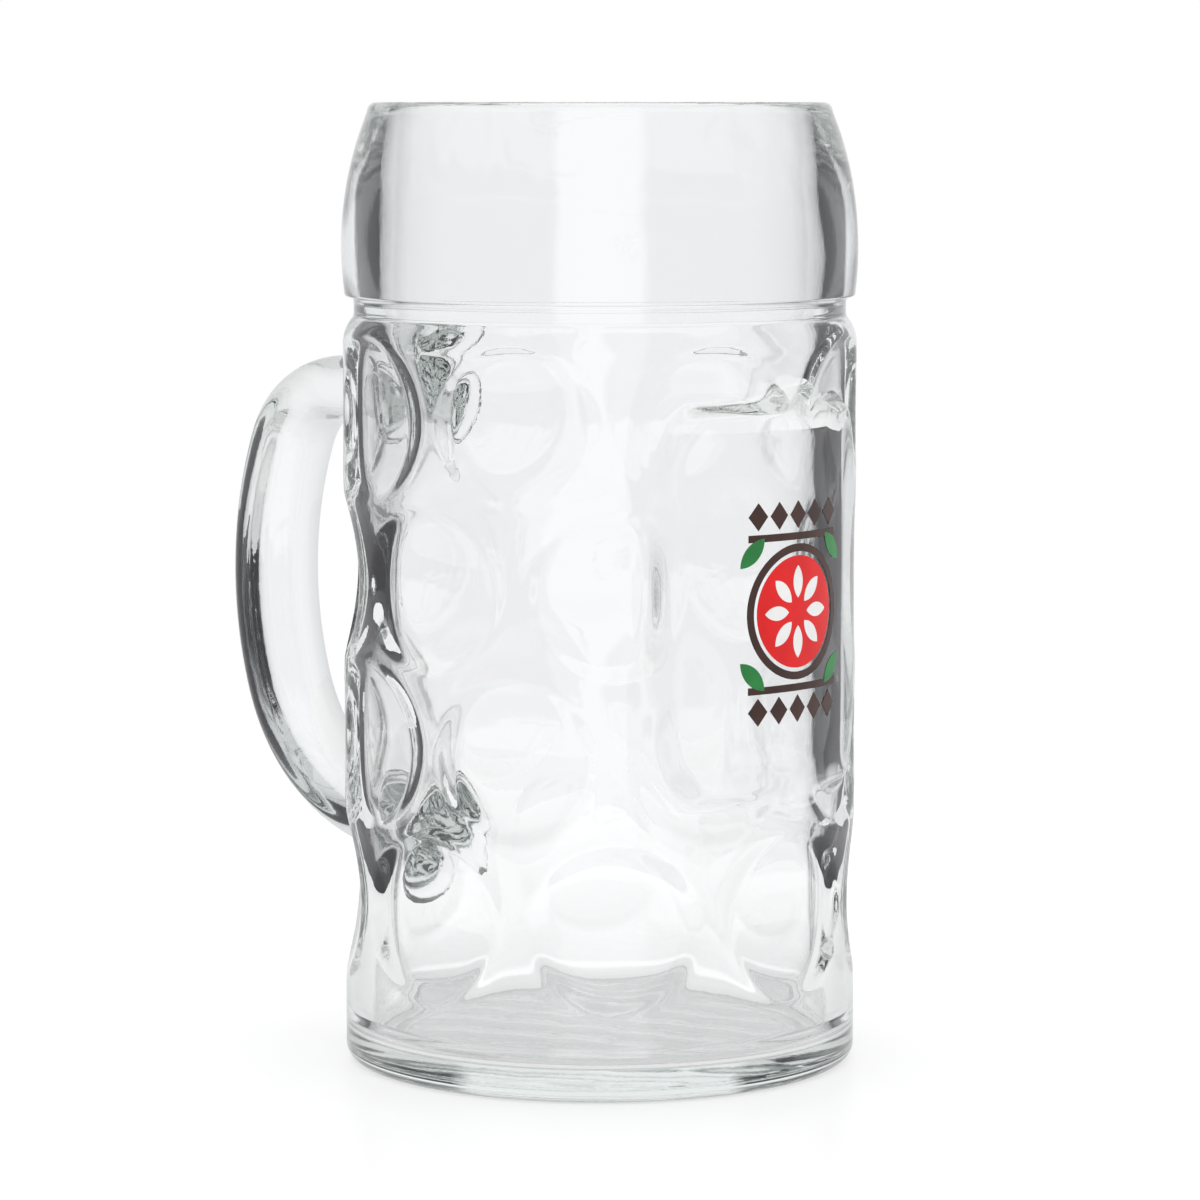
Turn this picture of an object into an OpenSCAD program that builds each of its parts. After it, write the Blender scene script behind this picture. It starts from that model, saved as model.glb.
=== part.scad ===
// Dimpled glass beer mug with an applied handle and a fired-on decoration.
// Z is up, the table is at zero, the smooth panel faces +X and the handle stands on -X.

/* [Vessel] */
// Overall height
mug_h = 200; // [180:1:220]
// Radius of the plain wall between the dimples
wall_r = 53.5; // [51:0.5:58]
// Thickness of the wall between the dimples
wall_t = 5.2; // [4.5:0.1:8]
// Thickness of the base under the inside floor
base_t = 8.5; // [6:0.5:14]
// Radius of the corner between the floor and the wall inside
floor_corner_r = 8; // [3:0.5:14]
// Radius of the heel, between the wall and the foot ring
heel_r = 3.4; // [1:0.1:6]

/* [Foot] */
// Width of the flat ring that stands on the table
foot_ring_w = 6; // [3:0.5:10]
// Depth of the hollow under the base
foot_hollow_h = 1.6; // [0.8:0.1:3]

/* [Lip] */
// Height of the smooth band that the lip forms
lip_h = 40; // [30:1:50]
// How far the band stands out beyond the plain wall
lip_proud = 0.2; // [0:0.1:3]
// Height of the largest radius above the band's lower edge
lip_swell_h = 10; // [4:1:16]
// Radius of the band's barrel curve, seen from the side
lip_curve_r = 75; // [60:1:120]
// Thickness of the band at its lower edge
lip_t = 7.6; // [6:0.1:10]
// Height over which the inside narrows to the rim
rim_taper_h = 9; // [4:1:20]
// Thickness of the rounded rim
rim_t = 3.9; // [3:0.1:5]
// Radius of the soft lower edge of the band
lip_edge_r = 0.6; // [0.2:0.1:1.2]

/* [Neck] */
// Height of the groove under the lip
groove_h = 3.3; // [2:0.1:6]
// Depth of the groove, from the plain wall
groove_depth = 2.3; // [1:0.1:3]
// Radius of the shoulder under the groove
shoulder_r = 8.3; // [5:0.1:12]
// Radius of the hollow curve between the groove and the shoulder
groove_fillet_r = 2; // [0.5:0.1:4]
// Radius of the hollow corner between the groove and the lip
groove_corner_r = 1.3; // [0.4:0.1:1.6]

/* [Dimples] */
// Dimples in one row
columns = 8; // [7:1:9]
// Rows of dimples
rows = 4; // [3:1:4]
// Width of a dimple round the wall
dimple_w = 34.5; // [24:0.5:36]
// Height of a dimple
dimple_h = 33.4; // [24:0.5:35]
// Depth of a dimple at its middle
dimple_depth = 4.2; // [3:0.1:5]
// Thickness of the glass at the middle of a dimple, which bulges into the vessel
dimple_t = 4.6; // [4:0.1:7]
// Height of the plain band under the lowest row
base_band_h = 18.7; // [12:0.5:28]
// Gap between the highest row and the groove
top_gap = 4.4; // [3:0.1:8]

/* [Panel] */
// Width of the smooth panel, measured straight across
panel_w = 56; // [50:1:60]
// Height of the panel
panel_h = 77.5; // [60:0.5:84]
// How far the panel's middle lies below the middle of the third row
panel_drop = 2.5; // [0:0.5:6]
// Width of the panel's top and bottom edges
panel_end_w = 43; // [36:1:50]
// Height of the panel's upper corners
panel_top_corner_h = 11.5; // [6:0.5:20]
// Height of the panel's lower corners
panel_low_corner_h = 11.5; // [6:0.5:24]
// How far the panel's sloping sides spread at the depth of the dimples
panel_side_w = 5.5; // [1:0.5:7]

/* [Handle] */
// Reach of the handle's centreline beyond the wall
handle_reach = 43; // [36:0.5:52]
// Width of the handle
handle_w = 21; // [16:0.5:26]
// Thickness of the handle
handle_t = 14; // [11:0.5:17]
// Radius of the narrow sides of the handle's oval section
handle_side_r = 5; // [3.5:0.1:5.4]
// Radius of the long outer curve
grip_r = 81; // [70:1:110]
// Height of the outermost point above the lower root
grip_rise = 54.5; // [50:0.5:60]
// Radius of the upper bend
top_bend_r = 18.5; // [14:0.5:24]
// Radius of the lower bend
low_bend_r = 40; // [26:1:46]
// Height of the upper root above the middle of the highest row
top_root_rise = 2.4; // [0:0.2:5]
// Height of the lower root above the middle of the lowest row
low_root_rise = 6.8; // [3:0.2:12]
// Slope of the lower arm, in degrees
low_arm_slope = 15; // [8:1:20]
// Radius of the flare where an arm joins the wall
root_flare_r = 4.5; // [3:0.5:8]

/* [Decoration] */
// Thickness of the fired-on enamel
enamel_t = 0.12; // [0.05:0.01:0.3]
// How far the decoration's middle lies below the panel's middle
print_drop = 2; // [0:0.5:5]
// Radius of the red roundel
roundel_r = 11.4; // [8:0.1:12]
// Gap between one colour and the next
colour_gap = 0.8; // [0.3:0.1:1.2]
// Width of the brown ring
ring_w = 1.6; // [0.8:0.1:2]
// Petals of the white rosette
petals = 8; // [5:1:9]
// Length of a petal
petal_l = 6.6; // [4:0.1:7]
// Width of a petal
petal_w = 2.9; // [1.5:0.1:3]
// Radius of the red eye in the rosette
eye_r = 2; // [1.5:0.1:2.5]
// Length of the brown bars above and below
bar_l = 27; // [20:0.5:30]
// Height of a bar
bar_h = 1.5; // [0.8:0.1:2.5]
// Lozenges in a row
lozenges = 5; // [3:1:6]
// Width of a lozenge
lozenge_w = 4.8; // [3:0.1:5]
// Height of a lozenge
lozenge_h = 5.6; // [3:0.1:7]
// Length of a green leaf
leaf_l = 8.2; // [5:0.1:9]
// Width of a green leaf
leaf_w = 3.4; // [2:0.1:4]
// Distance of a leaf's middle from the roundel's middle
leaf_reach = 17.6; // [17:0.1:19]

/* [Hidden] */
$fn = 96;
// Overrun of every cut
over = 1;
// Points along one arc of a turned outline
arc_n = 12;

glass_colour = [0.84, 0.90, 0.87, 0.45];
handle_colour = [0.80, 0.88, 0.85, 0.55];
red_colour = [0.85, 0.05, 0.05];
white_colour = [0.95, 0.95, 0.93];
brown_colour = [0.17, 0.07, 0.05];
green_colour = [0.08, 0.42, 0.15];

// Radii of the inside and of the lip
inside_r = wall_r - wall_t;
lip_r = wall_r + lip_proud;
lip_inside_r = lip_r - lip_t;

// Heights of the neck, from the table
lip_z = mug_h - lip_h;
groove_top_z = lip_z - groove_corner_r;
neck_z = lip_z - groove_h;
groove_r = wall_r - groove_depth;

// The barrel curve of the lip
lip_curve_c = [lip_r - lip_curve_r, lip_z + lip_swell_h];
rim_r = rim_t / 2;
rim_z = mug_h - rim_r;
function lip_at(z) = lip_curve_c.x + sqrt(pow(lip_curve_r, 2) - pow(z - lip_curve_c.y, 2));
rim_c = [lip_at(rim_z) - rim_r, rim_z];
lip_foot_z = lip_z + lip_edge_r;
lip_foot_c = [lip_at(lip_foot_z) - lip_edge_r, lip_foot_z];

// The foot ring
foot_out_r = wall_r - heel_r;
foot_in_r = foot_out_r - foot_ring_w;
hollow_r = foot_in_r - foot_hollow_h;

// The dimples
column_pitch = 360 / columns;
row_pitch = (neck_z - top_gap - dimple_h - base_band_h) / (rows - 1);
function row_z(row) = base_band_h + dimple_h / 2 + row * row_pitch;
scoop_r = pow(dimple_h, 2) / (8 * dimple_depth);
scoop_sweep_r = 1 / (8 * dimple_depth / pow(dimple_w, 2) - 1 / wall_r);
// Half of the arc that one scoop is swept through
scoop_arc = asin((dimple_w / 2 + over) / scoop_sweep_r);
panel_row = 2;

// The panel
panel_z = row_z(panel_row) - panel_drop;
panel_root_r = wall_r - dimple_depth;

// The handle's outline in its own plane, with x away from the axis and y up
top_root = [wall_r, row_z(rows - 1) + top_root_rise];
low_root = [wall_r, row_z(0) + low_root_rise];
grip_c = [wall_r + handle_reach - grip_r, low_root.y + grip_rise];
// The arms start this far inside the glass under a dimple, and the vessel's outside trims them
root_sink = 2.15;
root_in = dimple_depth + root_sink;
function heading(a) = [cos(a), sin(a)];
// Length of an arm from p along heading a until a bend of radius r, set off to side s, meets the grip arc
function arm_length(p, a, r, s) =
    let (q = p + s * r * heading(a + 90) - grip_c, b = q * heading(a))
    sqrt(b * b - q * q + pow(grip_r - r, 2)) - b;
function bend_centre(p, a, r, s) = p + arm_length(p, a, r, s) * heading(a) + s * r * heading(a + 90);
top_bend_c = bend_centre(top_root, 0, top_bend_r, -1);
low_bend_c = bend_centre(low_root, low_arm_slope, low_bend_r, 1);
function heading_from_grip(c) = atan2(c.y - grip_c.y, c.x - grip_c.x);
top_grip_a = heading_from_grip(top_bend_c);
low_grip_a = heading_from_grip(low_bend_c);

// The oval section: narrow ends of radius handle_side_r under two flatter crowns
side_c = handle_w / 2 - handle_side_r;
crown_r = (pow(side_c, 2) + pow(handle_t / 2, 2) - pow(handle_side_r, 2)) / (handle_t - 2 * handle_side_r);
crown_half_w = side_c * crown_r / (crown_r - handle_side_r);

// The decoration
print_z = panel_z - print_drop;
ring_in_r = roundel_r + colour_gap;
ring_out_r = ring_in_r + ring_w;
bar_y = ring_out_r + colour_gap + bar_h / 2;
lozenge_y = bar_y + bar_h / 2 + colour_gap + lozenge_h / 2;
lozenge_pitch = (bar_l - lozenge_w) / (lozenges - 1);

// Points on an arc about c
function arc(c, r, from, to) = [for (i = [0 : arc_n]) c + r * heading(from + (to - from) * i / arc_n)];
// Points up the barrel of the lip
function lip_points() = [for (i = [0 : 2 * arc_n])
    let (z = lip_foot_z + (rim_z - lip_foot_z) * i / (2 * arc_n)) [lip_at(z), z]];

// The outside of the vessel, turned, before the dimples
module turned_outside() {
    rotate_extrude()
        polygon(concat(
            [[0, foot_hollow_h], [hollow_r, foot_hollow_h], [foot_in_r, 0]],
            arc([foot_out_r, heel_r], heel_r, -90, 0),
            arc([wall_r - shoulder_r, neck_z - shoulder_drop()], shoulder_r, 0, shoulder_turn()),
            arc([groove_r + groove_fillet_r, neck_z], groove_fillet_r, 180 + shoulder_turn(), 180),
            arc([groove_r + groove_corner_r, groove_top_z], groove_corner_r, 180, 90),
            arc(lip_foot_c, lip_edge_r, -90, 0),
            lip_points(),
            arc(rim_c, rim_r, 0, 90),
            [[0, mug_h]]));
}
// The shoulder's arc runs smoothly into the hollow curve that ends at the groove
function shoulder_turn() = acos(1 - groove_depth / (shoulder_r + groove_fillet_r));
function shoulder_drop() = (shoulder_r + groove_fillet_r) * sin(shoulder_turn());

// The room inside the vessel, turned, before the dimples bulge into it
module turned_inside() {
    rotate_extrude()
        polygon(concat(
            [[0, base_t]],
            arc([inside_r - floor_corner_r, base_t + floor_corner_r], floor_corner_r, -90, 0),
            [[inside_r, neck_z - shoulder_drop()]],
            [[lip_inside_r, lip_z]],
            [[lip_inside_r, rim_z - rim_taper_h]],
            arc(rim_c, rim_r, 180, 90),
            [[rim_c.x, mug_h + over], [0, mug_h + over]]));
}

// One dimple's cutter: a thin slice of a ring that lies outside the wall, or outside a surface
// that runs this far below the dimple's, in the glass
module scoop(row, below) {
    sweep_r = scoop_sweep_r + below;
    section_r = scoop_r + below;
    slice_h = dimple_depth + over / 2;
    translate([wall_r - dimple_depth + scoop_sweep_r, 0, row_z(row)])
        rotate([0, 0, 180 - scoop_arc])
            rotate_extrude(angle = 2 * scoop_arc)
                intersection() {
                    translate([sweep_r - section_r, 0])
                        circle(r = section_r);
                    translate([sweep_r - slice_h, -section_r])
                        square([slice_h + over, 2 * section_r]);
                }
}

// The panel's outline, with x round the wall and y up
module panel_outline() {
    top = panel_h / 2;
    polygon([
        [panel_end_w / 2, top],
        [-panel_end_w / 2, top],
        [-panel_w / 2, top - panel_top_corner_h],
        [-panel_w / 2, panel_low_corner_h - top],
        [-panel_end_w / 2, -top],
        [panel_end_w / 2, -top],
        [panel_w / 2, panel_low_corner_h - top],
        [panel_w / 2, top - panel_top_corner_h]]);
}

// The block that keeps the dimples off the panel, with sides that slope down to the dimples
module panel_block() {
    spread = [1 + 2 * panel_side_w / panel_w, 1 + 2 * panel_side_w / panel_h];
    face_x = sqrt(pow(wall_r, 2) - pow(panel_w / 2, 2));
    depth = face_x - sqrt(pow(panel_root_r, 2) - pow(panel_w / 2 + panel_side_w, 2));
    translate([face_x, 0, panel_z])
        rotate([90, 0, -90])
            linear_extrude(height = depth, scale = spread, slices = 1, segments = 0)
                panel_outline();
    translate([face_x, 0, panel_z])
        rotate([90, 0, 90])
            linear_extrude(height = wall_r)
                panel_outline();
}

// Whether a dimple, this many columns away from the panel's middle, can reach the panel
function by_panel(turn) =
    abs(turn) * column_pitch < asin((panel_w / 2 + panel_side_w) / wall_r) + asin(dimple_w / 2 / wall_r);

// The dimples of the rows from first on, every other row, so that no two cutters meet. Those
// less than nearest columns away from the panel's middle are left out.
module dimples(first, below, nearest) {
    for (row = [first : 2 : rows - 1])
        for (column = [0 : columns - 1]) {
            turn = (column > columns / 2 ? column - columns : column) + (row % 2) / 2;
            if (abs(turn) >= nearest && (row != panel_row || column != 0))
                difference() {
                    rotate([0, 0, turn * column_pitch])
                        scoop(row, below);
                    if (row > 0 && by_panel(turn))
                        panel_block();
                }
        }
}

// The solid outside of the vessel with its dimples
module dimpled_outside(nearest) {
    difference() {
        difference() {
            turned_outside();
            dimples(0, 0, nearest);
        }
        dimples(1, 0, nearest);
    }
}

// The room inside the vessel, with the backs of the dimples standing in it
module dimpled_inside() {
    difference() {
        difference() {
            turned_inside();
            dimples(0, dimple_t, 0);
        }
        dimples(1, dimple_t, 0);
    }
}

module mug_body() {
    color(glass_colour)
        difference() {
            dimpled_outside(0);
            dimpled_inside();
        }
}

module handle_section() {
    intersection() {
        translate([handle_t / 2 - crown_r, 0])
            circle(r = crown_r);
        translate([crown_r - handle_t / 2, 0])
            circle(r = crown_r);
        square([handle_t, 2 * crown_half_w], center = true);
    }
    for (side = [-1, 1])
        translate([0, side * side_c])
            circle(r = handle_side_r);
}

// A stretch of the handle about centre c, between two headings
module handle_arc(c, r, from, to) {
    translate(c)
        rotate([0, 0, from])
            rotate_extrude(angle = to - from)
                translate([r, 0])
                    handle_section();
}

// A straight arm out of the wall, with the flare at its root
module handle_arm(root, slope, length) {
    translate(root)
        rotate([0, 0, slope])
            translate([-root_in, 0, 0])
                rotate([90, 0, 90]) {
                    linear_extrude(height = length + root_in)
                        handle_section();
                    rotate_extrude()
                        root_flare();
                }
}

// Half of the flare's outline: a trumpet that narrows to the arm's thickness
module root_flare() {
    flare_in = root_in;
    difference() {
        square([handle_t / 2 + root_flare_r, flare_in + root_flare_r]);
        translate([handle_t / 2 + root_flare_r, flare_in + root_flare_r])
            circle(r = root_flare_r);
    }
}

module handle() {
    color(handle_colour)
        difference() {
            rotate([90, 0, 180]) {
                handle_arm(top_root, 0, arm_length(top_root, 0, top_bend_r, -1));
                handle_arc(top_bend_c, top_bend_r, top_grip_a, 90);
                handle_arc(grip_c, grip_r, low_grip_a, top_grip_a);
                handle_arc(low_bend_c, low_bend_r, low_arm_slope - 90, low_grip_a);
                handle_arm(low_root, low_arm_slope, arm_length(low_root, low_arm_slope, low_bend_r, 1));
            }
            // Only the dimples at the back can touch the handle
            dimpled_outside(columns / 2 - 1);
        }
}

// A film of enamel on the panel, in the shape of the flat drawing that it is given
module enamel() {
    intersection() {
        difference() {
            cylinder(r = wall_r + enamel_t, h = mug_h);
            translate([0, 0, -over])
                cylinder(r = wall_r, h = mug_h + 2 * over);
        }
        translate([0, 0, print_z])
            rotate([90, 0, 90])
                linear_extrude(height = wall_r + over)
                    children();
    }
}

// A pointed oval, long along x, from two circles that cross
module pointed_oval(length, width) {
    r = (pow(length, 2) + pow(width, 2)) / (4 * width);
    intersection() {
        translate([0, r - width / 2])
            circle(r = r);
        translate([0, width / 2 - r])
            circle(r = r);
    }
}

module rosette() {
    for (petal = [0 : petals - 1])
        rotate([0, 0, petal * 360 / petals])
            translate([eye_r + colour_gap + petal_l / 2, 0])
                pointed_oval(petal_l, petal_w);
}

module print_red() {
    color(red_colour)
        enamel()
            difference() {
                circle(r = roundel_r);
                rosette();
            }
}

module print_white() {
    color(white_colour)
        enamel()
            rosette();
}

module print_brown() {
    color(brown_colour)
        enamel() {
            difference() {
                circle(r = ring_out_r);
                circle(r = ring_in_r);
            }
            for (side = [-1, 1]) {
                translate([0, side * bar_y])
                    square([bar_l, bar_h], center = true);
                for (i = [0 : lozenges - 1])
                    translate([(i - (lozenges - 1) / 2) * lozenge_pitch, side * lozenge_y])
                        polygon([
                            [lozenge_w / 2, 0],
                            [0, lozenge_h / 2],
                            [-lozenge_w / 2, 0],
                            [0, -lozenge_h / 2]]);
            }
        }
}

module print_green() {
    color(green_colour)
        enamel()
            for (turn = [45, 135, 225, 315])
                rotate([0, 0, turn])
                    translate([leaf_reach, 0])
                        rotate([0, 0, 90])
                            pointed_oval(leaf_l, leaf_w);
}

mug_body();
handle();
print_red();
print_white();
print_brown();
print_green();
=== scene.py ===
import math

import bpy
import numpy as np
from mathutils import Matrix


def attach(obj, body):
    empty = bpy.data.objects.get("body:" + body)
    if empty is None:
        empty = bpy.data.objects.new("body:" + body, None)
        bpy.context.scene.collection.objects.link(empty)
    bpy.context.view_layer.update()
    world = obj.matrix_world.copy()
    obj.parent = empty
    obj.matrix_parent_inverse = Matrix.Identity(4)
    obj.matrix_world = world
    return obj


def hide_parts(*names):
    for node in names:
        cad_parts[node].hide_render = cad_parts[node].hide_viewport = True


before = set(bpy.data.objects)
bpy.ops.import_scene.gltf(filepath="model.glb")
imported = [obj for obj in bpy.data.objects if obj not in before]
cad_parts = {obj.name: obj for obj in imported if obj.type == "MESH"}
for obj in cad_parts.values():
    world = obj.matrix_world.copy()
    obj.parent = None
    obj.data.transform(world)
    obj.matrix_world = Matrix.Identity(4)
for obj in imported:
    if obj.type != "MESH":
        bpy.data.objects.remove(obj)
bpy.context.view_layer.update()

# Millimetres in this script, metres in the scene
MM = 0.001

# Vessel
MUG_H = 200.0
WALL_R = 53.5
WALL_T = 5.2
BASE_T = 6.0
FLOOR_CORNER_R = 3.0
HEEL_R = 3.4
FOOT_RING_W = 6.0
FOOT_HOLLOW_H = 1.6
# How far the inside floor rises to its middle, and the height and length of its waves
FLOOR_DOME_H = 0.8
FLOOR_WAVE_H = 0.1
FLOOR_WAVE_L = 16.0

# Lip and neck
LIP_H = 40.0
LIP_R = 53.7
LIP_SWELL_H = 10.0
LIP_CURVE_R = 75.0
LIP_EDGE_R = 0.6
LIP_T = 7.6
RIM_TAPER_H = 24.0
RIM_T = 3.9
GROOVE_H = 3.3
GROOVE_DEPTH = 2.3
SHOULDER_R = 8.3
GROOVE_FILLET_R = 2.0
GROOVE_CORNER_R = 1.3

# Dimples
COLUMNS = 8
ROWS = 4
DIMPLE_W = 34.5
DIMPLE_H = 33.4
DIMPLE_DEPTH = 4.2
DIMPLE_T = 4.6
# How soft the edges are, outside and inside
DIMPLE_EDGE = 0.45
BULGE_EDGE = 0.9
BASE_BAND_H = 18.7
TOP_GAP = 4.4

# Panel
PANEL_W = 56.0
PANEL_H = 77.5
PANEL_DROP = 2.5
PANEL_END_W = 43.0
PANEL_CORNER_H = 11.5
PANEL_SIDE_W = 7.0
PANEL_END_SLOPE = 3.5
PANEL_END_IN = 1.0
PANEL_SOFT = 0.16
PANEL_ROW = 2

# Handle
HANDLE_REACH = 43.0
HANDLE_W = 21.0
HANDLE_T = 14.0
GRIP_R = 81.0
GRIP_RISE = 54.5
TOP_BEND_R = 18.5
LOW_BEND_R = 40.0
TOP_ROOT_RISE = 2.4
LOW_ROOT_RISE = 6.8
LOW_ARM_SLOPE = math.radians(15)

LIP_Z = MUG_H - LIP_H
NECK_Z = LIP_Z - GROOVE_H
ROW_PITCH = (NECK_Z - TOP_GAP - DIMPLE_H - BASE_BAND_H) / (ROWS - 1)


def row_z(row):
    return BASE_BAND_H + DIMPLE_H / 2 + row * ROW_PITCH


PANEL_Z = row_z(PANEL_ROW) - PANEL_DROP


# Camera

CAMERA_AT = (0.6533, -0.7332, 0.1998)
CAMERA_TURN = 41.7
CAMERA_PITCH = 6.02
CAMERA_LENS = 141.4
SENSOR_W = 36


def add_camera():
    data = bpy.data.cameras.new("camera")
    data.sensor_width = SENSOR_W
    data.lens = CAMERA_LENS
    data.clip_start = 0.01
    data.clip_end = 20
    camera = bpy.data.objects.new("camera", data)
    camera.location = CAMERA_AT
    camera.rotation_euler = (math.radians(90 - CAMERA_PITCH), 0, math.radians(CAMERA_TURN))
    bpy.context.collection.objects.link(camera)
    bpy.context.scene.camera = camera


# Turned outlines, as lists of (radius, height)


def arc(cr, cz, r, start, stop, n):
    turns = np.radians(np.linspace(start, stop, n + 1))
    return [(cr + r * math.cos(t), cz + r * math.sin(t)) for t in turns]


def line(p, q, step):
    n = max(1, round(math.dist(p, q) / step))
    return [(p[0] + (q[0] - p[0]) * i / n, p[1] + (q[1] - p[1]) * i / n) for i in range(n + 1)]


def lip_at(z):
    rise = z - LIP_Z - LIP_SWELL_H
    return LIP_R - LIP_CURVE_R + math.sqrt(LIP_CURVE_R ** 2 - rise ** 2)


RIM_R = RIM_T / 2
RIM_Z = MUG_H - RIM_R
RIM_C = lip_at(RIM_Z) - RIM_R
SHOULDER_TURN = math.degrees(math.acos(1 - GROOVE_DEPTH / (SHOULDER_R + GROOVE_FILLET_R)))
SHOULDER_Z = NECK_Z - (SHOULDER_R + GROOVE_FILLET_R) * math.sin(math.radians(SHOULDER_TURN))
GROOVE_R = WALL_R - GROOVE_DEPTH
INSIDE_R = WALL_R - WALL_T
LIP_INSIDE_R = LIP_R - LIP_T


# The outlines start and end this far from the axis
AXIS_GAP = 0.5
# The distance between rings along the wall and the lip, outside
OUTLINE_STEP = 0.8
# The soft step from the hollow to the foot ring: its width, and its points, each as a radius beyond
# the ring's inner edge and a height
HOLLOW_W = 4.0
HOLLOW_STEP = ((-3, 1.55), (-2.2, 1.35), (-1.6, 0.95), (-1.1, 0.45), (-0.6, 0.15), (0.2, 0.0))


def foot_outline():
    foot_out = WALL_R - HEEL_R
    foot_in = foot_out - FOOT_RING_W
    points = line((AXIS_GAP, FOOT_HOLLOW_H), (foot_in - HOLLOW_W, FOOT_HOLLOW_H), 3)
    points += [(foot_in + beyond, z) for beyond, z in HOLLOW_STEP]
    points += line((foot_in + 1, 0), (foot_out - 0.6, 0), 1)
    return points + arc(foot_out, HEEL_R, HEEL_R, -90, 0, 10)


def outside_outline():
    """From the hollow under the base up to the top of the rim. Arcs stop short of where the next
    stretch starts, so no two points are one."""
    step = OUTLINE_STEP
    lip_foot = LIP_Z + LIP_EDGE_R
    points = foot_outline()
    points += line((WALL_R, HEEL_R + step), (WALL_R, SHOULDER_Z - step / 2), step)
    points += arc(WALL_R - SHOULDER_R, SHOULDER_Z, SHOULDER_R, 0, SHOULDER_TURN, 9)
    points += arc(GROOVE_R + GROOVE_FILLET_R, NECK_Z, GROOVE_FILLET_R, 172 + SHOULDER_TURN, 180, 5)
    points += line((GROOVE_R, NECK_Z + 0.5), (GROOVE_R, LIP_Z - GROOVE_CORNER_R - 0.4), 0.5)
    points += arc(GROOVE_R + GROOVE_CORNER_R, LIP_Z - GROOVE_CORNER_R, GROOVE_CORNER_R, 180, 95, 6)
    points += arc(lip_at(lip_foot) - LIP_EDGE_R, lip_foot, LIP_EDGE_R, -80, 0, 6)
    heights = np.linspace(lip_foot, RIM_Z, round((RIM_Z - lip_foot) / step) + 1)[1:]
    points += [(lip_at(z), z) for z in heights]
    points += arc(RIM_C, RIM_Z, RIM_R, 12, 90, 7)
    return points


def inside_radius(z):
    """The turned inside: narrow at the rim, thick behind the lip, wide in the body."""
    to_rim = np.clip((z - RIM_Z + RIM_TAPER_H) / RIM_TAPER_H, 0, 1)
    to_body = np.clip((LIP_Z - z) / (LIP_Z - SHOULDER_Z), 0, 1)
    narrow = (LIP_INSIDE_R - RIM_C + RIM_R) * to_rim ** 2
    return LIP_INSIDE_R - narrow + (INSIDE_R - LIP_INSIDE_R) * to_body ** 2 * (3 - 2 * to_body)


def inside_outline():
    """From the top of the rim down to the middle of the floor."""
    points = arc(RIM_C, RIM_Z, RIM_R, 102, 160, 6)
    heights = np.arange(RIM_Z - 1, BASE_T + FLOOR_CORNER_R + 0.5, -1)
    points += [(inside_radius(z), z) for z in heights]
    points += arc(INSIDE_R - FLOOR_CORNER_R, BASE_T + FLOOR_CORNER_R, FLOOR_CORNER_R, 0, -90, 14)
    points += line((INSIDE_R - FLOOR_CORNER_R - 1.5, BASE_T), (AXIS_GAP, BASE_T), 2)
    return points


# The dimpled wall


# Keeps the exponential in range
EXP_LIMIT = 60
# Just under a quarter turn, past which the sine would fall again
NEAR_QUARTER = 1.5


def wrap(turn):
    return (turn + math.pi) % (2 * math.pi) - math.pi


def panel_cover(theta, z):
    """1 on the smooth panel, 0 away from it, with soft sloping sides."""
    theta, z = np.broadcast_arrays(theta, z)
    y = np.abs(WALL_R * np.sin(theta))
    v = np.abs(z - PANEL_Z)
    top = PANEL_H / 2
    side = (PANEL_W - PANEL_END_W) / 2
    corner = (y - PANEL_END_W / 2) * PANEL_CORNER_H + (v - top) * side
    sides = np.stack([
        (y - PANEL_W / 2) / PANEL_SIDE_W,
        (v - top + PANEL_END_IN) / PANEL_END_SLOPE,
        corner / math.hypot(PANEL_CORNER_H, side) / PANEL_SIDE_W])
    largest = PANEL_SOFT * np.log(np.exp(np.clip(sides / PANEL_SOFT, -EXP_LIMIT, EXP_LIMIT)).sum(0))
    t = np.clip(largest, 0, 1)
    cover = 1 - t * t * (3 - 2 * t)
    return np.where(np.cos(theta) > 0, cover, 0)


def hollows(theta, z, depth, half_w, half_h):
    """How far the dimples reach below a wall, negative outside them."""
    cut = np.full(np.broadcast(theta, z).shape, -2.0 * depth)
    for row in range(ROWS):
        v = (z - row_z(row)) / half_h
        for column in range(COLUMNS):
            if row == PANEL_ROW and column == 0:
                continue
            turn = wrap(theta - (column + (row % 2) / 2) * 2 * math.pi / COLUMNS)
            u = np.sin(np.clip(turn, -NEAR_QUARTER, NEAR_QUARTER)) / half_w
            cut = np.maximum(cut, depth * (1 - u * u - v * v))
    return cut


def soft_edge(over, edge):
    return 0.5 * (over + np.sqrt(over * over + edge * edge))


PLAIN = sorted({(z, r) for r, z in outside_outline() if HEEL_R <= z < LIP_Z - GROOVE_CORNER_R})


def plain_radius(z):
    """The outside radius of the wall as if it had no dimples."""
    heights = [p[0] for p in PLAIN]
    radii = [p[1] for p in PLAIN]
    return np.interp(z, heights, radii)


def wall_radius(theta, z, plain=None):
    """The outside radius of the vessel between the heel and the groove."""
    plain = plain_radius(z) if plain is None else plain
    cut = hollows(theta, z, DIMPLE_DEPTH, DIMPLE_W / 2 / WALL_R, DIMPLE_H / 2)
    over = soft_edge(plain - WALL_R + cut, DIMPLE_EDGE)
    return plain - over * (1 - panel_cover(theta, z))


# How far the backs of the dimples stand into the vessel, and the ellipse that each one covers
BULGE = DIMPLE_DEPTH + DIMPLE_T - WALL_T
SECTION_R = DIMPLE_H ** 2 / (8 * DIMPLE_DEPTH)
SWEEP_R = 1 / (8 * DIMPLE_DEPTH / DIMPLE_W ** 2 - 1 / WALL_R)
BULGE_HALF_H = math.sqrt(2 * BULGE * (SECTION_R + DIMPLE_T))
BULGE_HALF_W = math.sqrt(2 * BULGE / (1 / (SWEEP_R + DIMPLE_T) + 1 / INSIDE_R))


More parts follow.
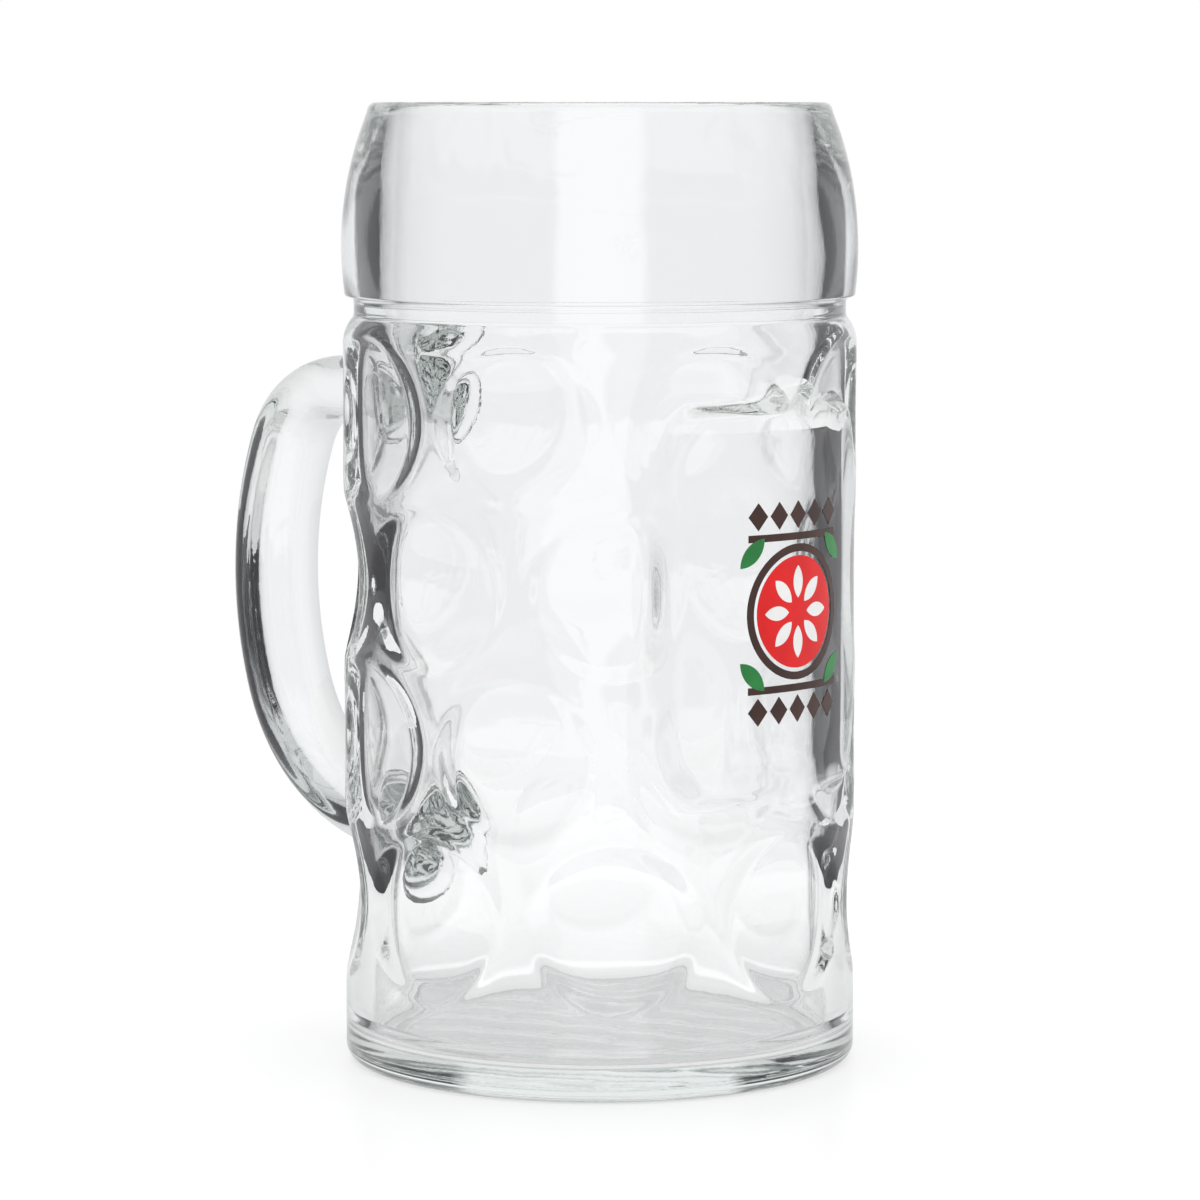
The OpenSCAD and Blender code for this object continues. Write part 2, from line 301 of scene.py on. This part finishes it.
# The thicker glass behind the panel: its height, its slopes and how far they reach in from the edges
PANEL_BULGE = 3.3
PANEL_BACK_SIDE = 16.0
PANEL_BACK_IN_W = 3.0
PANEL_BACK_IN_H = 6.0


def panel_back(theta, z):
    """How far the thicker glass behind the panel stands into the vessel, with long soft sides."""
    y = np.abs(WALL_R * wrap(theta))
    v = np.abs(z - PANEL_Z)
    side = np.clip((y - PANEL_W / 2 + PANEL_BACK_IN_W) / PANEL_BACK_SIDE, 0, 1)
    end = np.clip((v - PANEL_H / 2 + PANEL_BACK_IN_H) / PANEL_BACK_SIDE, 0, 1)
    share = np.clip(1 - np.sqrt(side * side + end * end), 0, 1)
    return PANEL_BULGE * share * share * (3 - 2 * share)


def bulges(theta, z):
    """How far the backs of the dimples and of the panel stand into the vessel."""
    back = hollows(theta, z, BULGE, BULGE_HALF_W / INSIDE_R, BULGE_HALF_H)
    dimples = soft_edge(back, BULGE_EDGE) * (1 - panel_cover(theta, z))
    panel = panel_back(theta, z)
    return panel + soft_edge(dimples - panel, BULGE_EDGE)


# Waves round the mug: how many, half waves for each millimetre of height, start and share
WAVES = (
    (2, 0.021, 0.3, 1.0),
    (3, -0.034, 1.9, 0.8),
    (5, 0.062, 4.1, 0.5),
    (8, -0.05, 2.2, 0.35),
    (13, 0.11, 5.3, 0.2))
LIP_RIPPLE_H = 0.035
INSIDE_RIPPLE_H = 0.06
# The inside's waves are turned by this much against the outside's
INSIDE_RIPPLE_TURN = 1.1
# The lip's ripple starts this far above the groove
LIP_RIPPLE_UP = 2
# How far the ripples take to come in at the bottom and to go out at the top
LIP_FADE = (6, 12)
INSIDE_FADE = (10, 15)
# Heights closer than this count as one
TOUCH = 0.001


def ripple(theta, z, amount):
    """The slow unevenness of pressed glass."""
    total = 0
    for count, climb, start, share in WAVES:
        total = total + share * np.sin(count * theta + math.pi * climb * z + start)
    return amount * total


def fade(z, low, high, lengths):
    """1 between two heights, and falling to 0 at each over its own length."""
    return np.clip((high - z) / lengths[1], 0, 1) * np.clip((z - low) / lengths[0], 0, 1)


def floor_rise(r, theta):
    """The inside floor is a little higher in the middle, and uneven where the gob was pressed."""
    flat_r = INSIDE_R - FLOOR_CORNER_R
    share = np.clip(1 - (r / flat_r) ** 2, 0, 1)
    x = 2 * math.pi * r * np.cos(theta) / FLOOR_WAVE_L
    y = 2 * math.pi * r * np.sin(theta) / FLOOR_WAVE_L
    waves = np.sin(x + 0.6 * y + 1) + np.sin(1.3 * y - 0.4 * x + 2.5) + 0.6 * np.sin(2.1 * x + 1.7 * y)
    return FLOOR_DOME_H * share + FLOOR_WAVE_H * waves * np.sqrt(share)


# Meshes


def new_object(name, verts, faces):
    mesh = bpy.data.meshes.new(name)
    mesh.from_pydata([tuple(v) for v in verts], [], [tuple(f) for f in faces])
    mesh.validate()
    mesh.shade_smooth()
    piece = bpy.data.objects.new(name, mesh)
    bpy.context.collection.objects.link(piece)
    return piece


def tube_faces(rings, around):
    """Quads between closed rings of vertices, and a fan at each end."""
    i = np.arange(rings - 1)[:, None] * around
    j = np.arange(around)[None, :]
    k = (j + 1) % around
    quads = np.stack([i + j, i + k, i + around + k, i + around + j], -1).reshape(-1, 4)
    first, last = rings * around, rings * around + 1
    end = (rings - 1) * around
    caps = [(first, (s + 1) % around, s) for s in range(around)]
    caps += [(last, end + s, end + (s + 1) % around) for s in range(around)]
    return quads, caps


# Vertices in each ring of the vessel
AROUND = 512


def turned(outline):
    """Radii and heights of an outline, one row for each of its points."""
    outline = np.array(outline)
    return np.repeat(outline[:, :1], AROUND, 1), np.repeat(outline[:, 1:], AROUND, 1)


def outer_rings(theta):
    r, z = turned(outside_outline())
    height = z[:, 0]
    wall = (height > HEEL_R) & (height < LIP_Z - GROOVE_CORNER_R)
    r[wall] = wall_radius(theta, z[wall], r[wall])
    lip_from = LIP_Z + LIP_RIPPLE_UP
    lip = height > lip_from
    r[lip] += fade(z[lip], lip_from, MUG_H, LIP_FADE) * ripple(theta, z[lip], LIP_RIPPLE_H)
    return r, z


def inner_rings(theta):
    r, z = turned(inside_outline())
    height = z[:, 0].copy()
    wall = (height > BASE_T + FLOOR_CORNER_R) & (height < LIP_Z)
    r[wall] -= bulges(theta, z[wall])
    r += fade(z, BASE_T, MUG_H, INSIDE_FADE) * ripple(theta + INSIDE_RIPPLE_TURN, z, INSIDE_RIPPLE_H)
    level = height <= BASE_T + TOUCH
    z[level] += floor_rise(r[level], theta)
    return r, z


def vessel():
    """The glass between the outer and the inner rings, and how many of its faces lie outside."""
    theta = np.linspace(0, 2 * math.pi, AROUND, endpoint=False)[None, :]
    outer_r, outer_z = outer_rings(theta)
    inner_r, inner_z = inner_rings(theta)
    r = np.vstack([outer_r, inner_r])
    z = np.vstack([outer_z, inner_z])
    verts = np.stack([r * np.cos(theta), r * np.sin(theta), z], -1).reshape(-1, 3)
    floor_middle = BASE_T + float(floor_rise(0, 0))
    ends = np.array([[0, 0, FOOT_HOLLOW_H], [0, 0, floor_middle]])
    quads, caps = tube_faces(len(r), AROUND)
    faces = [tuple(q) for q in quads.tolist()] + caps
    return new_object("mug_glass", np.vstack([verts, ends]) * MM, faces), (len(outer_r) - 1) * AROUND


# The handle, in its own plane: rho away from the mug's axis and z up

TOP_ROOT = np.array([WALL_R, row_z(ROWS - 1) + TOP_ROOT_RISE])
LOW_ROOT = np.array([WALL_R, row_z(0) + LOW_ROOT_RISE])
GRIP_C = np.array([WALL_R + HANDLE_REACH - GRIP_R, LOW_ROOT[1] + GRIP_RISE])
# How far the flare at a root grows beyond the section, in its own plane and across it
FLARE_UP = 5.5
FLARE_SIDE = 3.2
FLARE_RINGS = 12
# The straight arm starts this far beyond the flare's height
ARM_GAP = 2.5
# Rounds after which a flare's ring lies on the wall
ROOT_ROUNDS = 8
# The section's power: 2 is an ellipse, and more is fuller at the corners
OVAL_POWER = 2.2
# Vertices in each ring of the handle, and the distance between its rings
HANDLE_SIDES = 72
HANDLE_STEP = 1.2
# Rings on the joint's own face, as shares of its outline, and how deep they and its edge lie
JOINT_SHARES = (0.12, 0.3, 0.5, 0.7, 0.88, 0.97)
JOINT_DEPTH = 0.4
JOINT_EDGE_DEPTH = 0.02


def heading(turn):
    return np.array([math.cos(turn), math.sin(turn)])


def bend(root, slope, r, side):
    """Length of the straight arm, and the centre of the bend that joins it to the grip arc."""
    to_centre = side * r * heading(slope + math.pi / 2)
    offset = root + to_centre - GRIP_C
    along = offset @ heading(slope)
    length = math.sqrt(along * along - offset @ offset + (GRIP_R - r) ** 2) - along
    return length, root + length * heading(slope) + to_centre


def handle_path():
    """Points and headings along the centreline, from the upper flare to the lower one."""
    top_length, top_c = bend(TOP_ROOT, 0, TOP_BEND_R, -1)
    low_length, low_c = bend(LOW_ROOT, LOW_ARM_SLOPE, LOW_BEND_R, 1)
    top_turn = math.atan2(*(top_c - GRIP_C)[::-1])
    low_turn = math.atan2(*(low_c - GRIP_C)[::-1])
    points, turns = [], []

    def straight(root, slope, start, stop, way):
        for s in np.linspace(start, stop, max(2, round(abs(stop - start) / HANDLE_STEP)))[:-1]:
            points.append(root + s * heading(slope))
            turns.append(slope if way > 0 else slope + math.pi)

    def curve(c, r, start, stop):
        n = max(2, round(abs(stop - start) * r / HANDLE_STEP))
        for t in np.linspace(start, stop, n + 1)[:-1]:
            points.append(c + r * heading(t))
            turns.append(t - math.pi / 2)

    clear = FLARE_UP + ARM_GAP
    straight(TOP_ROOT, 0, clear, top_length, 1)
    curve(top_c, TOP_BEND_R, math.pi / 2, top_turn)
    curve(GRIP_C, GRIP_R, top_turn, low_turn)
    curve(low_c, LOW_BEND_R, low_turn, LOW_ARM_SLOPE - math.pi / 2)
    straight(LOW_ROOT, LOW_ARM_SLOPE, low_length, clear, -1)
    points.append(LOW_ROOT + clear * heading(LOW_ARM_SLOPE))
    turns.append(LOW_ARM_SLOPE + math.pi)
    return np.array(points), np.array(turns)


def oval(grow_up=0.0, grow_side=0.0, size=1.0):
    """The handle's section: (across the plane, in the plane), grown outwards for the flares."""
    t = np.linspace(0, 2 * math.pi, HANDLE_SIDES, endpoint=False)
    c, s = np.cos(t), np.sin(t)
    power = 2 / OVAL_POWER
    side = np.sign(c) * np.abs(c) ** power * (HANDLE_W / 2 + grow_side) * size
    up = np.sign(s) * np.abs(s) ** power * (HANDLE_T / 2 + grow_up) * size
    return side, up


def root_ring(root, slope, stand_off, grow, size=1.0):
    """A ring of the flare that follows the vessel's wall at a distance from it."""
    side, up = oval(FLARE_UP * grow, FLARE_SIDE * grow, size)
    length = np.zeros(HANDLE_SIDES)
    for _ in range(ROOT_ROUNDS):
        z = root[1] + length * math.sin(slope) + up * math.cos(slope)
        rho = root[0] + length * math.cos(slope) - up * math.sin(slope)
        theta = np.arctan2(side, -rho)
        r = wall_radius(theta, z) + stand_off
        rho_wanted = np.sqrt(r * r - side * side)
        length += (rho_wanted - rho) / math.cos(slope)
    z = root[1] + length * math.sin(slope) + up * math.cos(slope)
    return np.stack([-rho_wanted, side, z], -1)


def flare_rings(root, slope):
    """From the middle of the joint out over its edge and along the flare."""
    rings = [root_ring(root, slope, -JOINT_DEPTH, 1, size) for size in JOINT_SHARES]
    rings.append(root_ring(root, slope, -JOINT_EDGE_DEPTH, 1))
    for t in np.linspace(0, 1, FLARE_RINGS + 1)[1:]:
        grow = 1 - math.sqrt(1 - (1 - t) ** 2)
        rings.append(root_ring(root, slope, FLARE_UP * t, grow))
    return rings


def handle_rings():
    points, turns = handle_path()
    side, up = oval()
    rings = flare_rings(TOP_ROOT, 0)
    for (rho, z), turn in zip(points, turns):
        # The section's upward direction is the heading turned a quarter left
        out_rho, out_z = -math.sin(turn), math.cos(turn)
        rings.append(np.stack([-(rho + up * out_rho), side, z + up * out_z], -1))
    lower = flare_rings(LOW_ROOT, LOW_ARM_SLOPE)[::-1]
    # The path arrives at the lower root upside down, so those rings run the other way
    rings += [np.roll(ring[::-1], 1, 0) for ring in lower]
    return np.array(rings)


def handle():
    """The handle, and a mark for each of its faces that lies on a joint."""
    rings = handle_rings()
    quads, caps = tube_faces(len(rings), HANDLE_SIDES)
    ends = np.array([rings[0].mean(0), rings[-1].mean(0)])
    verts = np.vstack([rings.reshape(-1, 3), ends])
    piece = new_object("handle_glass", verts * MM, [tuple(q) for q in quads.tolist()] + caps)
    piece.data.flip_normals()
    count = len(rings)
    joint = np.zeros(len(piece.data.polygons), int)
    ring_of = np.repeat(np.arange(count - 1), HANDLE_SIDES)
    joint_rings = len(JOINT_SHARES)
    joint[: len(ring_of)] = (ring_of < joint_rings) | (ring_of >= count - 1 - joint_rings)
    joint[len(ring_of):] = 1
    return piece, joint


# The marked faces stop this far inside the flare's outline
JOINT_INSET = 0.5


def under_handle(piece, outside_faces):
    """Marks the vessel's faces that the handle's roots cover, where the glass is one."""
    mesh = piece.data
    centres = np.empty(len(mesh.polygons) * 3)
    mesh.polygons.foreach_get("center", centres)
    x, y, z = centres.reshape(-1, 3).T / MM
    rho = -x
    near = (rho > 0) & (np.arange(len(x)) < outside_faces)
    mark = np.zeros(len(x), bool)
    for root, slope in ((TOP_ROOT, 0), (LOW_ROOT, LOW_ARM_SLOPE)):
        up = (z - root[1]) * math.cos(slope) - (rho - root[0]) * math.sin(slope)
        half_w = HANDLE_W / 2 + FLARE_SIDE - JOINT_INSET
        half_h = HANDLE_T / 2 + FLARE_UP - JOINT_INSET
        mark |= near & ((np.abs(y) / half_w) ** OVAL_POWER + (np.abs(up) / half_h) ** OVAL_POWER < 1)
    return mark


def mark_joined(piece, faces):
    """Writes the mark that joined_ior reads."""
    mark = piece.data.attributes.new("joined", "FLOAT", "FACE")
    mark.data.foreach_set("value", faces.astype(float))


# Materials


def material(name):
    made = bpy.data.materials.new(name)
    made.use_nodes = True
    nodes = made.node_tree.nodes
    nodes.clear()
    return made, nodes, made.node_tree.links


def calculate(nodes, links, operation, first, second=None):
    """A math node on one socket, or on two."""
    made = nodes.new("ShaderNodeMath")
    made.operation = operation
    links.new(first, made.inputs[0])
    if second is not None:
        links.new(second, made.inputs[1])
    return made


def colour_mix(nodes, links, factor):
    made = nodes.new("ShaderNodeMix")
    made.data_type = "RGBA"
    links.new(factor, made.inputs["Factor"])
    return made


def spread(nodes, links, value, limits):
    """Maps a value, with limits by the names of the node's own inputs."""
    made = nodes.new("ShaderNodeMapRange")
    for name, limit in limits.items():
        made.inputs[name].default_value = limit
    links.new(value, made.inputs["Value"])
    return made.outputs[0]


def ramp(nodes, links, value, first, last):
    """Colours between two pairs of a position and a colour."""
    made = nodes.new("ShaderNodeValToRGB")
    for element, (position, colour) in zip(made.color_ramp.elements, (first, last)):
        element.position = position
        element.color = (*colour, 1)
    links.new(value, made.inputs["Fac"])
    return made.outputs["Color"]


def noise(nodes, links, place, scale, detail):
    made = nodes.new("ShaderNodeTexNoise")
    made.inputs["Scale"].default_value = scale
    made.inputs["Detail"].default_value = detail
    links.new(place, made.inputs["Vector"])
    return made.outputs["Fac"]


def bump(nodes, links, height, strength, distance, socket):
    made = nodes.new("ShaderNodeBump")
    made.inputs["Strength"].default_value = strength
    made.inputs["Distance"].default_value = distance
    links.new(height, made.inputs["Height"])
    links.new(made.outputs[0], socket)


GLASS_IOR = 1.52
GLASS_TINT = (0.995, 0.998, 0.997)
# Painted shade at the glass's edges: the grey that its colour turns to at grazing angles, fully at a
# facing of EDGE_TO
EDGE_PAINTED_SHADE = (0.30, 0.32, 0.315)
EDGE_TO = 0.95
# The pale green that thick soda-lime glass shows
DEEP_TINT = (0.63, 0.71, 0.67)
DEEP_DENSITY = 5.0
# The fine skin: its height, in metres as the bump wants it, and its detail
SKIN_H = 0.000006
SKIN_DETAIL = 2.5


def joined_ior(nodes, links, socket):
    """No bending of light at the faces marked as joined, where two pieces of glass are one."""
    mark = nodes.new("ShaderNodeAttribute")
    mark.attribute_name = "joined"
    ior = spread(nodes, links, mark.outputs["Fac"], {"To Min": GLASS_IOR, "To Max": 1})
    links.new(ior, socket)


def painted_edge_shade(nodes, links, edge_from, socket):
    """Painted shade: the glass's colour greys where its surface is seen at a grazing angle, in place
    of the dark room that the edges would mirror, so the edges read against white.
    """
    graze = nodes.new("ShaderNodeLayerWeight")
    graze.inputs["Blend"].default_value = 0.5
    limits = {"From Min": edge_from, "From Max": EDGE_TO}
    mixed = colour_mix(nodes, links, spread(nodes, links, graze.outputs["Facing"], limits))
    mixed.inputs["A"].default_value = (*GLASS_TINT, 1)
    mixed.inputs["B"].default_value = (*EDGE_PAINTED_SHADE, 1)
    links.new(mixed.outputs["Result"], socket)


def pressed_skin(nodes, links, stretch, scale, socket):
    """The fine skin of pressed glass, as a bump."""
    place = nodes.new("ShaderNodeTexCoord")
    shape = nodes.new("ShaderNodeMapping")
    shape.inputs["Scale"].default_value = stretch
    links.new(place.outputs["Object"], shape.inputs["Vector"])
    grain = noise(nodes, links, shape.outputs[0], scale, SKIN_DETAIL)
    bump(nodes, links, grain, 1, SKIN_H, socket)


def glass(name, edge_from, stretch, scale):
    """Clear glass whose painted edge shade starts at edge_from, and whose skin has a stretch and a
    scale.
    """
    made, nodes, links = material(name)
    out = nodes.new("ShaderNodeOutputMaterial")
    shader = nodes.new("ShaderNodeBsdfPrincipled")
    # Painted shade: the base colour greys towards grazing angles
    painted_edge_shade(nodes, links, edge_from, shader.inputs["Base Color"])
    shader.inputs["Roughness"].default_value = 0
    shader.inputs["IOR"].default_value = GLASS_IOR
    shader.inputs["Transmission Weight"].default_value = 1
    joined_ior(nodes, links, shader.inputs["IOR"])
    pressed_skin(nodes, links, stretch, scale, shader.inputs["Normal"])
    links.new(shader.outputs[0], out.inputs["Surface"])
    depth = nodes.new("ShaderNodeVolumeAbsorption")
    depth.inputs["Color"].default_value = (*DEEP_TINT, 1)
    depth.inputs["Density"].default_value = DEEP_DENSITY
    links.new(depth.outputs[0], out.inputs["Volume"])
    return made


# Enamel: the patches of its shade, and the grain of its surface, with a height in metres
PATCH_SCALE = 160
PATCH_DETAIL = 3
PATCH_FROM = 0.35
PATCH_TO = 0.65
GRAIN_SCALE = 900
GRAIN_DETAIL = 2
GRAIN_STRENGTH = 0.15
GRAIN_H = 0.00005
ENAMEL_SPECULAR = 0.3


def enamel(name, colour, dark, roughness):
    """Fired-on ceramic colour: slightly uneven in shade, with a soft gloss."""
    made, nodes, links = material(name)
    out = nodes.new("ShaderNodeOutputMaterial")
    shader = nodes.new("ShaderNodeBsdfPrincipled")
    place = nodes.new("ShaderNodeTexCoord").outputs["Object"]
    patch = noise(nodes, links, place, PATCH_SCALE, PATCH_DETAIL)
    shade = ramp(nodes, links, patch, (PATCH_FROM, dark), (PATCH_TO, colour))
    links.new(shade, shader.inputs["Base Color"])
    shader.inputs["Roughness"].default_value = roughness
    shader.inputs["Specular IOR Level"].default_value = ENAMEL_SPECULAR
    grain = noise(nodes, links, place, GRAIN_SCALE, GRAIN_DETAIL)
    bump(nodes, links, grain, GRAIN_STRENGTH, GRAIN_H, shader.inputs["Normal"])
    links.new(shader.outputs[0], out.inputs["Surface"])
    return made


# Studio


# Light from where a white screen stands, from the black flags beside it and from above them
PALE = (0.985, 0.985, 1.0)
FLAG = (0.02, 0.02, 0.025)
CEILING = (0.77, 0.78, 0.79)
# The flags begin between these shares of straight sideways
FLAG_FROM = 0.36
FLAG_TO = 0.42
# They end between these shares of straight up
CEILING_FROM = 0.35
CEILING_TO = 0.6
# The least bounces of both kinds for light that counts as mirrored inside the glass
MIRRORED_FROM = 0.5


def flags(nodes, links):
    """The room by direction: pale in front and behind, black at both sides, grey above."""
    place = nodes.new("ShaderNodeTexCoord").outputs["Generated"]
    side = nodes.new("ShaderNodeVectorMath")
    side.operation = "DOT_PRODUCT"
    turn = math.radians(CAMERA_TURN)
    side.inputs[1].default_value = (math.cos(turn), math.sin(turn), 0)
    links.new(place, side.inputs[0])
    sideways = calculate(nodes, links, "ABSOLUTE", side.outputs["Value"])
    round_mug = ramp(nodes, links, sideways.outputs[0], (FLAG_FROM, PALE), (FLAG_TO, FLAG))
    split = nodes.new("ShaderNodeSeparateXYZ")
    links.new(place, split.inputs[0])
    limits = {"From Min": CEILING_FROM, "From Max": CEILING_TO}
    room = colour_mix(nodes, links, spread(nodes, links, split.outputs["Z"], limits))
    links.new(round_mug, room.inputs["A"])
    room.inputs["B"].default_value = (*CEILING, 1)
    return room.outputs["Result"]


def studio():
    """Plain white for the camera and for matt things, pale for light that goes straight through
    the glass, and the flags for light that has been mirrored inside it."""
    world = bpy.data.worlds.new("studio")
    bpy.context.scene.world = world
    world.use_nodes = True
    nodes, links = world.node_tree.nodes, world.node_tree.links
    nodes.clear()
    out = nodes.new("ShaderNodeOutputWorld")
    back = nodes.new("ShaderNodeBackground")
    links.new(back.outputs[0], out.inputs["Surface"])
    light = nodes.new("ShaderNodeLightPath").outputs
    inside = calculate(nodes, links, "MINIMUM", light["Glossy Depth"], light["Transmission Depth"])
    mirrored = calculate(nodes, links, "GREATER_THAN", inside.outputs[0])
    mirrored.inputs[1].default_value = MIRRORED_FROM
    in_glass = colour_mix(nodes, links, mirrored.outputs[0])
    in_glass.inputs["A"].default_value = (*PALE, 1)
    links.new(flags(nodes, links), in_glass.inputs["B"])
    direct = calculate(nodes, links, "MAXIMUM", light["Is Camera Ray"], light["Is Diffuse Ray"])
    seen = colour_mix(nodes, links, direct.outputs[0])
    links.new(in_glass.outputs["Result"], seen.inputs["A"])
    seen.inputs["B"].default_value = (1, 1, 1, 1)
    links.new(seen.outputs["Result"], back.inputs["Color"])


# Radius in metres, colour and gloss of the table, and its own light as the camera and the glass see it
TABLE_R = 0.4
TABLE_SIDES = 96
TABLE_COLOUR = (0.52, 0.52, 0.525)
TABLE_ROUGHNESS = 0.2
TABLE_IOR = 1.05
FLOOR_SEEN = 0.54
FLOOR_IN_GLASS = 0.46


def floor():
    """A pale table that keeps the mug's shadow and a faint reflection."""
    bpy.ops.mesh.primitive_circle_add(vertices=TABLE_SIDES, radius=TABLE_R, fill_type="NGON")
    table = bpy.context.active_object
    table.name = "floor"
    made, nodes, links = material("pale_table")
    out = nodes.new("ShaderNodeOutputMaterial")
    matt = nodes.new("ShaderNodeBsdfPrincipled")
    matt.inputs["Base Color"].default_value = (*TABLE_COLOUR, 1)
    matt.inputs["Roughness"].default_value = TABLE_ROUGHNESS
    matt.inputs["IOR"].default_value = TABLE_IOR
    glow = nodes.new("ShaderNodeEmission")
    camera_ray = nodes.new("ShaderNodeLightPath").outputs["Is Camera Ray"]
    level = spread(nodes, links, camera_ray, {"To Min": FLOOR_IN_GLASS, "To Max": FLOOR_SEEN})
    links.new(level, glow.inputs["Strength"])
    both = nodes.new("ShaderNodeAddShader")
    links.new(matt.outputs[0], both.inputs[0])
    links.new(glow.outputs[0], both.inputs[1])
    links.new(both.outputs[0], out.inputs["Surface"])
    table.data.materials.append(made)


# The most reflections and refractions that light is followed through
BOUNCES = 24


def long_paths():
    """Light that runs round inside the lip's wall comes out after many reflections."""
    cycles = bpy.context.scene.cycles
    cycles.max_bounces = BOUNCES
    cycles.transmission_bounces = BOUNCES
    cycles.glossy_bounces = BOUNCES


add_camera()
studio()
floor()
clear_glass = glass("clear_glass", edge_from=0.5, stretch=(1, 1, 0.5), scale=900)
handle_clear = glass("handle_glass", edge_from=0.15, stretch=(1, 1, 0.6), scale=600)
paints = {
    "print_red": enamel("enamel_red", (0.80, 0.005, 0.006), (0.70, 0.004, 0.005), 0.22),
    "print_white": enamel("enamel_white", (0.90, 0.90, 0.89), (0.84, 0.84, 0.83), 0.25),
    "print_brown": enamel("enamel_brown", (0.055, 0.022, 0.016), (0.035, 0.014, 0.011), 0.2),
    "print_green": enamel("enamel_green", (0.02, 0.24, 0.05), (0.015, 0.18, 0.04), 0.22)}
for node, paint in paints.items():
    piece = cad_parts[node]
    piece.data.materials.clear()
    piece.data.materials.append(paint)

mug, outside_faces = vessel()
mug.data.materials.append(clear_glass)
mark_joined(mug, under_handle(mug, outside_faces))
grip, grip_joint = handle()
grip.data.materials.append(handle_clear)
mark_joined(grip, grip_joint)
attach(mug, "root")
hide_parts("mug_body")
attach(grip, "root")
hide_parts("handle")

bpy.context.scene.view_settings.view_transform = "Standard"
long_paths()
